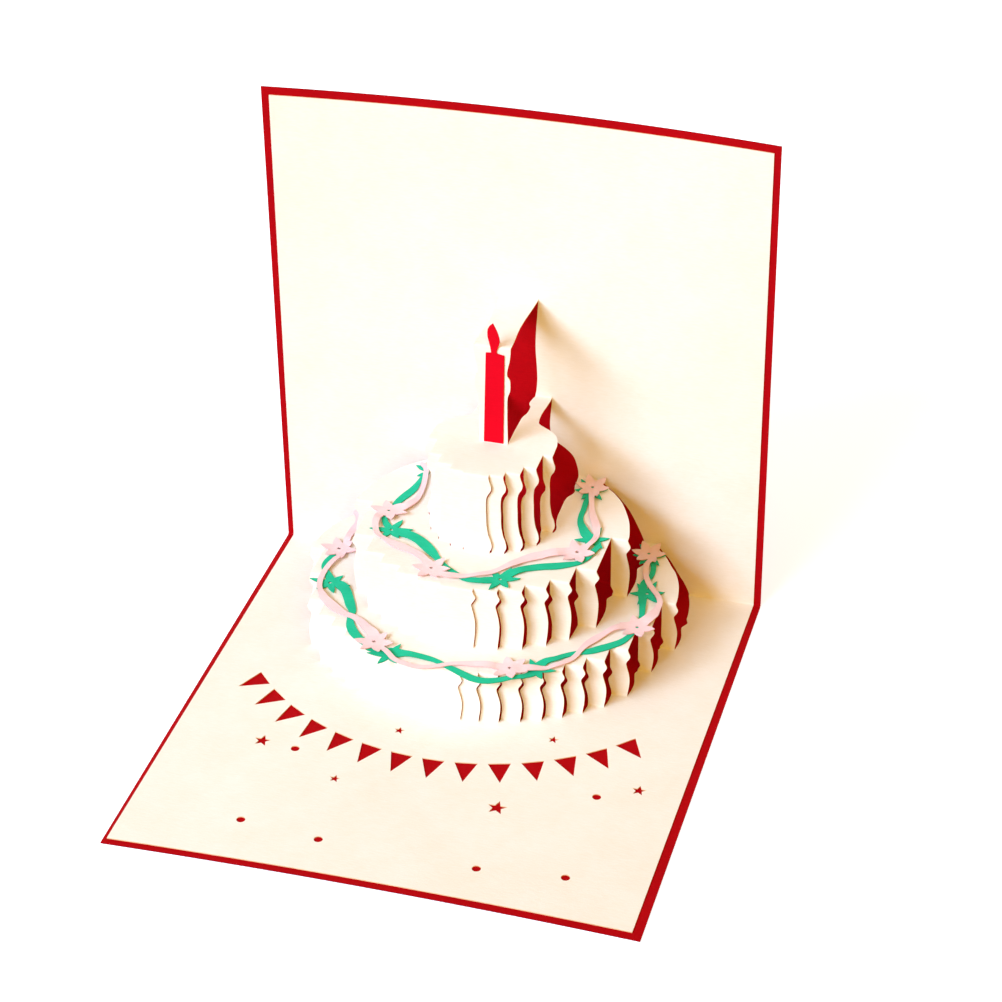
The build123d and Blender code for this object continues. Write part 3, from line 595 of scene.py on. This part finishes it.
def make_cover():
    r = CREASE + SHEET_T
    sheet = Folded(COVER_T, r)
    lo, w = -SHEET_T, CARD_W / 2
    main = row("main_C", -w, w, lo + r, 3.0)
    end = CARD_D
    outline = (main + edge_points((w, lo + r), (w, end)) + [(w, end, None)]
               + edge_points((w, end), (-w, end)) + [(-w, end, None)] + edge_points((-w, end), (-w, lo + r)))
    sheet.panel("level", lo, outline, (), 5.0)
    sheet.panel("upright", lo, outline, (), 5.0)
    sheet.creases(6)
    return sheet.mesh("cover_card", bow)


# ---------------------------------------------------------------- loose paper
def curve(points, step=0.4):
    """Smooth open curve through points."""
    p = [np.array(q, float) for q in points]
    out = []
    for k in range(len(p) - 1):
        a, b = p[max(k - 1, 0)], p[k]
        c, d = p[k + 1], p[min(k + 2, len(p) - 1)]
        n = max(2, math.ceil(np.linalg.norm(c - b) / step))
        for j in range(n):
            u = j / n
            out.append(tuple(0.5 * (2 * b + (c - a) * u + (2 * a - 5 * b + 4 * c - d) * u**2
                                    + (3 * b - a - 3 * c + d) * u**3)))
    out.append(tuple(p[-1]))
    return out


def band(path):
    """Closed outline of a band along a path of (x, depth, width), with rounded ends."""
    left, right = [], []
    n = len(path)
    for k, (x, y, width) in enumerate(path):
        x0, y0, _ = path[max(k - 2, 0)]
        x1, y1, _ = path[min(k + 2, n - 1)]
        s = math.hypot(x1 - x0, y1 - y0)
        nx, ny = -(y1 - y0) / s, (x1 - x0) / s
        half = width / 2 * math.sqrt(max(0.12, min(1.0, min(k, n - 1 - k) / 3.0)))
        left.append((x + nx * half, y + ny * half))
        right.append((x - nx * half, y - ny * half))
    return left + list(reversed(right))


def leaflet(base, tip, half):
    """Outline of one pointed leaf."""
    b, t = np.array(base), np.array(tip)
    side = np.array([-(t - b)[1], (t - b)[0]]) / np.linalg.norm(t - b)
    out = [tuple(b + (t - b) * u + side * half * math.sin(math.pi * u ** 0.8)) for u in np.linspace(0, 1, 10)]
    out += [tuple(b + (t - b) * u - side * half * math.sin(math.pi * u ** 0.8)) for u in np.linspace(1, 0, 10)[1:-1]]
    return out


def petals(x, y, outer, inner, points, turn, full, vary, seed):
    """Outline of a cut flower or leaf cluster: pointed lobes with curved sides."""
    out = []
    for k in range(points):
        long = outer * (1.0 + vary * math.sin(2.1 * k + seed))
        a0 = turn + 360.0 * k / points
        tip = math.radians(a0 + 10.0 * vary * math.sin(3.7 * k + seed))
        va, vb = math.radians(a0 - 180.0 / points), math.radians(a0 + 180.0 / points)
        t = np.array([long * math.cos(tip), long * math.sin(tip)])
        v0 = np.array([inner * math.cos(va), inner * math.sin(va)])
        v1 = np.array([inner * math.cos(vb), inner * math.sin(vb)])
        side = np.array([-math.sin(tip), math.cos(tip)])
        belly = (inner + 0.42 * (long - inner)) * np.array([math.cos(tip), math.sin(tip)])
        c0 = belly - side * full
        c1 = belly + side * full
        for u in np.linspace(0, 1, 9)[:-1]:
            out.append(tuple((1 - u)**2 * v0 + 2 * u * (1 - u) * c0 + u**2 * t))
        for u in np.linspace(0, 1, 9)[:-1]:
            out.append(tuple((1 - u)**2 * t + 2 * u * (1 - u) * c1 + u**2 * v1))
    return [(x + a, y + b) for a, b in out]


def thick_mesh(name, loops, holes, step, thick, lift, upright=None):
    """Closed mesh of a flat cut paper shape, lifted by lift(x, v)."""
    verts, tris, _ = fill(loops, holes, step)
    used = sorted({i for t in tris for i in t})
    index = {i: k for k, i in enumerate(used)}
    flat = np.array([verts[i] for i in used])
    tris = [tuple(index[i] for i in t) for t in tris]
    up = lift(flat)
    n = len(flat)
    if upright is None:
        # level paper: v is depth and the front face looks up
        front = np.stack([flat[:, 0], flat[:, 1], up + thick], axis=1)
        back = np.stack([flat[:, 0], flat[:, 1], up], axis=1)
        tris = [tuple(reversed(t)) for t in tris]
    else:
        front = np.stack([flat[:, 0], upright + up + thick, flat[:, 1]], axis=1)
        back = np.stack([flat[:, 0], upright + up, flat[:, 1]], axis=1)
    seen = {(t[k], t[(k + 1) % 3]) for t in tris for k in range(3)}
    rim = [e for e in seen if (e[1], e[0]) not in seen]
    faces = tris + [tuple(i + n for i in reversed(t)) for t in tris]
    plain = len(faces)
    faces += [(b, a, a + n, b + n) for a, b in rim]
    return new_mesh(name, place(np.vstack([front, back]), bow), faces, plain)


def waves(flat, seed, size, amount):
    """Gentle unevenness over a flat shape."""
    return np.array([amount * (0.5 + 0.5 * noise.noise(Vector((x / size, y / size, seed)))) for x, y in flat])


def tips(flat, spots, start, reach, amount):
    """Upward curl towards the tips of the flowers or leaves."""
    out = np.zeros(len(flat))
    for x, y, _ in spots:
        r = np.hypot(flat[:, 0] - x, flat[:, 1] - y)
        rise = np.clip((r - start) / (reach - start), 0, 1) ** 1.6
        fall = np.clip(1.0 - (r - 1.15 * reach) / 5.0, 0, 1)
        out = np.maximum(out, amount * rise * fall * fall * (3 - 2 * fall))
    return out


def make_garland(prefix, height, ribbon, vine, flowers, leaves, leaflets, seed):
    def vine_lift(flat):
        return height + 0.03 + waves(flat, seed, 14.0, 0.14) + tips(flat, leaves, 1.8, LEAF_R, 0.35)

    def ribbon_lift(flat):
        return (vine_lift(flat) + PAPER_T + 0.03 + waves(flat, seed + 7.3, 9.0, 0.22)
                + tips(flat, flowers, 2.2, FLOWER_R, 0.5))
    vine_loops = [band(curve(vine))]
    vine_loops += [petals(x, y, LEAF_R, LEAF_IN, 6, t, 1.0, 0.14, seed + k)
                   for k, (x, y, t) in enumerate(leaves)]
    vine_loops += [leaflet(*leaf) for leaf in leaflets]
    vine_obj = thick_mesh(prefix + "_vine_paper", vine_loops,
                          [ring(x, y, LEAF_EYE, 16) for x, y, _ in leaves], 0.9, PAPER_T, vine_lift)
    ribbon_loops = [band(curve(ribbon))]
    ribbon_loops += [petals(x, y, FLOWER_R, FLOWER_IN, 6, t, 1.3, 0.06, seed + k)
                     for k, (x, y, t) in enumerate(flowers)]
    ribbon_obj = thick_mesh(prefix + "_ribbon_paper", ribbon_loops,
                            [ring(x, y, FLOWER_EYE, 16) for x, y, _ in flowers], 0.9, PAPER_T, ribbon_lift)
    return vine_obj, ribbon_obj


def make_candle():
    body = []
    corners = CANDLE_BODY
    for a, b in zip(corners, corners[1:]):
        body += [a] + [(u, v) for u, v, _ in edge_points(a, b, 1.0)]
    flame = curve(FLAME_RIGHT, 0.3)[:-1] + curve(FLAME_LEFT, 0.3)[:-1]
    left = []
    for a, b in ((FLAME_LEFT[-1], CANDLE_BODY_LEFT[1]), (CANDLE_BODY_LEFT[1], CANDLE_BODY[0])):
        left += [a] + [(u, v) for u, v, _ in edge_points(a, b, 1.0)]

    def lift(flat):
        return 0.02 + 0.5 * np.clip((flat[:, 1] - 90.0) / 13.0, 0, 1) ** 2
    return thick_mesh("candle_paper", [body + flame + left], [], 1.2, PAPER_T, lift, STEM_DEEP)


cover = make_cover()
inner = make_inner_sheet()
candle = make_candle()
lower_vine, lower_ribbon = make_garland("lower", H1, LOWER_RIBBON, LOWER_VINE, LOWER_FLOWERS, LOWER_LEAVES, [], 1.0)
upper_vine, upper_ribbon = make_garland("upper", H2, UPPER_RIBBON, UPPER_VINE, UPPER_FLOWERS, UPPER_LEAVES, UPPER_LEAFLETS, 2.0)


# ---------------------------------------------------------------- materials
def linear(r, g, b):
    return tuple(c / 12.92 / 255 if c <= 10 else ((c / 255 + 0.055) / 1.055) ** 2.4 for c in (r, g, b)) + (1.0,)


def paper(name, colour, deep, rough, grain, fibre_scale=1500.0):
    """Uncoated paper: soft clouds of colour, fine fibres, and a felted bump."""
    mat = bpy.data.materials.new(name)
    mat.use_nodes = True
    nt = mat.node_tree
    nt.nodes.clear()
    out = nt.nodes.new("ShaderNodeOutputMaterial")
    bsdf = nt.nodes.new("ShaderNodeBsdfPrincipled")
    bsdf.inputs["Specular IOR Level"].default_value = 0.05
    nt.links.new(bsdf.outputs["BSDF"], out.inputs["Surface"])
    coord = nt.nodes.new("ShaderNodeTexCoord")

    def tex(scale, detail, stretch=None):
        n = nt.nodes.new("ShaderNodeTexNoise")
        n.inputs["Scale"].default_value = scale
        n.inputs["Detail"].default_value = detail
        n.inputs["Roughness"].default_value = 0.65
        if stretch:
            m = nt.nodes.new("ShaderNodeMapping")
            m.inputs["Scale"].default_value = stretch
            m.inputs["Rotation"].default_value = (0.3, 0.2, 0.7)
            nt.links.new(coord.outputs["Object"], m.inputs["Vector"])
            nt.links.new(m.outputs["Vector"], n.inputs["Vector"])
        else:
            nt.links.new(coord.outputs["Object"], n.inputs["Vector"])
        return n
    clouds = tex(55.0, 3.0)
    flecks = tex(fibre_scale, 5.0)
    fibres = tex(420.0, 4.0, (1.0, 5.0, 5.0))
    tone = nt.nodes.new("ShaderNodeMath")
    tone.operation = "MULTIPLY_ADD"
    tone.inputs[1].default_value = 0.5
    nt.links.new(clouds.outputs["Fac"], tone.inputs[0])
    half = nt.nodes.new("ShaderNodeMath")
    half.operation = "MULTIPLY"
    half.inputs[1].default_value = 0.5
    nt.links.new(fibres.outputs["Fac"], half.inputs[0])
    nt.links.new(half.outputs[0], tone.inputs[2])
    ramp = nt.nodes.new("ShaderNodeValToRGB")
    ramp.color_ramp.elements[0].position = 0.34
    ramp.color_ramp.elements[0].color = deep
    ramp.color_ramp.elements[1].position = 0.62
    ramp.color_ramp.elements[1].color = colour
    nt.links.new(tone.outputs[0], ramp.inputs["Fac"])
    nt.links.new(ramp.outputs["Color"], bsdf.inputs["Base Color"])
    rr = nt.nodes.new("ShaderNodeMapRange")
    rr.inputs["To Min"].default_value = rough - 0.08
    rr.inputs["To Max"].default_value = rough + 0.06
    nt.links.new(flecks.outputs["Fac"], rr.inputs["Value"])
    nt.links.new(rr.outputs["Result"], bsdf.inputs["Roughness"])
    height = nt.nodes.new("ShaderNodeMath")
    height.operation = "ADD"
    nt.links.new(flecks.outputs["Fac"], height.inputs[0])
    nt.links.new(fibres.outputs["Fac"], height.inputs[1])
    bump = nt.nodes.new("ShaderNodeBump")
    bump.inputs["Strength"].default_value = grain
    bump.inputs["Distance"].default_value = 0.00012
    nt.links.new(height.outputs[0], bump.inputs["Height"])
    nt.links.new(bump.outputs["Normal"], bsdf.inputs["Normal"])
    return mat


cream = paper("cream_card", linear(251, 243, 237), linear(246, 236, 225), 0.88, 0.36)
cream_edge = paper("cream_card_edge", linear(236, 214, 172), linear(222, 192, 144), 0.92, 0.45)
red = paper("red_card", linear(180, 2, 14), linear(165, 1, 11), 0.80, 0.40)
red_edge = paper("red_card_edge", linear(160, 4, 20), linear(148, 3, 16), 0.85, 0.45)
bright = paper("bright_red_paper", linear(226, 3, 34), linear(217, 2, 30), 0.80, 0.30)
bright_edge = paper("bright_red_paper_edge", linear(204, 6, 34), linear(190, 5, 28), 0.85, 0.4)
green = paper("green_paper", linear(44, 199, 158), linear(34, 188, 146), 0.80, 0.32)
green_edge = paper("green_paper_edge", linear(24, 166, 126), linear(18, 154, 114), 0.86, 0.4)
pink = paper("pink_paper", linear(250, 220, 225), linear(247, 211, 217), 0.84, 0.30)
pink_edge = paper("pink_paper_edge", linear(240, 192, 198), linear(232, 180, 187), 0.88, 0.4)

for piece, node, slot, face, edge in (
        (cover, "cover", "cover_card", red, red_edge),
        (inner, "inner_sheet", "inner_card", cream, cream_edge),
        (candle, "candle", "candle_paper", bright, bright_edge),
        (lower_vine, "lower_vine", "vine_paper", green, green_edge),
        (lower_ribbon, "lower_ribbon", "ribbon_paper", pink, pink_edge),
        (upper_vine, "upper_vine", "vine_paper", green, green_edge),
        (upper_ribbon, "upper_ribbon", "ribbon_paper", pink, pink_edge)):
    piece.data.materials.append(face)
    piece.data.materials.append(edge)
    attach(piece, "root")
    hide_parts(node)

# ---------------------------------------------------------------- stage
floor_mesh = bpy.data.meshes.new("floor")
floor_mesh.from_pydata([(-4, -4, 0), (4, -4, 0), (4, 4, 0), (-4, 4, 0)], [], [(0, 1, 2, 3)])
floor = bpy.data.objects.new("floor", floor_mesh)
bpy.context.scene.collection.objects.link(floor)
floor_white = paper("floor_white", linear(251, 251, 251), linear(249, 249, 249), 0.95, 0.02, 300.0)
# a light table: it glows a little, so that shadows on it stay pale
glow = next(n for n in floor_white.node_tree.nodes if n.type == "BSDF_PRINCIPLED")
glow.inputs["Emission Color"].default_value = (0.66, 0.79, 0.98, 1.0)
glow.inputs["Emission Strength"].default_value = 0.78
floor_mesh.materials.append(floor_white)
# the floor casts no light back on the card
floor.visible_diffuse = False

world = bpy.data.worlds.new("studio")
world.use_nodes = True
world.node_tree.nodes["Background"].inputs["Color"].default_value = (1.0, 0.56, 0.0, 1.0)
world.node_tree.nodes["Background"].inputs["Strength"].default_value = 0.38
bpy.context.scene.world = world


def area(name, azimuth, elevation, distance, size, power, colour):
    """Softbox aimed at the card; azimuth 0 is straight in front, negative to the left."""
    a, e = math.radians(azimuth), math.radians(elevation)
    at = distance * Vector((math.cos(e) * math.sin(a), -math.cos(e) * math.cos(a), math.sin(e)))
    data = bpy.data.lights.new(name, "AREA")
    data.shape = "ELLIPSE"
    data.size, data.size_y = size
    data.energy = power
    data.color = colour
    obj = bpy.data.objects.new(name, data)
    bpy.context.scene.collection.objects.link(obj)
    obj.location = at
    obj.rotation_euler = (Vector((0.0, 0.0, 0.05)) - at).to_track_quat("-Z", "Y").to_euler()
    return obj


COOL, WARM = (0.8, 1.06, 1.38), (1.0, 0.56, 0.0)
area("key_right", -22, 35, 2.6, (0.9, 0.6), 18.1, COOL)
area("key_low", -34, 28, 2.6, (0.9, 0.6), 13.3, COOL)
area("key_left", -45, 35, 2.6, (0.9, 0.6), 24.5, COOL)
area("key_front", -12, 20, 2.6, (0.5, 0.5), 6.4, COOL)
area("side", -60, 35, 2.6, (2.4, 2.4), 14.8, COOL)
area("top", 0, 80, 2.6, (2.8, 2.8), 2.5, COOL)
area("warm_front", 25, 35, 2.6, (2.0, 2.0), 21.5, WARM)
area("rear_left", -155, 10, 2.0, (1.0, 0.5), 12.0, (1.0, 0.97, 0.93))
area("rear_right", 150, 8, 2.0, (1.0, 0.5), 8.0, (1.0, 0.95, 0.88))

# ---------------------------------------------------------------- camera
az, el, roll = math.radians(16.322), math.radians(33.635), math.radians(-0.773)
target = Vector((1.105, -23.022 + FACE_Y, 40.0 + FACE_Z)) / 1000.0
back = Vector((math.sin(az) * math.cos(el), -math.cos(az) * math.cos(el), math.sin(el)))
right = (-back).cross(Vector((0, 0, 1))).normalized()
upward = right.cross(-back)
rx = math.cos(roll) * right + math.sin(roll) * upward
ux = -math.sin(roll) * right + math.cos(roll) * upward
cam_data = bpy.data.cameras.new("camera")
cam_data.lens = 104.675
cam_data.sensor_width = 36.0
cam_data.sensor_fit = "HORIZONTAL"
cam_data.clip_start = 0.01
cam = bpy.data.objects.new("camera", cam_data)
bpy.context.scene.collection.objects.link(cam)
cam.matrix_world = Matrix.Translation(target + back * 0.851136) @ Matrix((rx, ux, back)).transposed().to_4x4()
bpy.context.scene.camera = cam

view = bpy.context.scene.view_settings
view.view_transform = "Standard"
view.look = "None"
view.exposure = 0.0

bpy.context.view_layer.update()
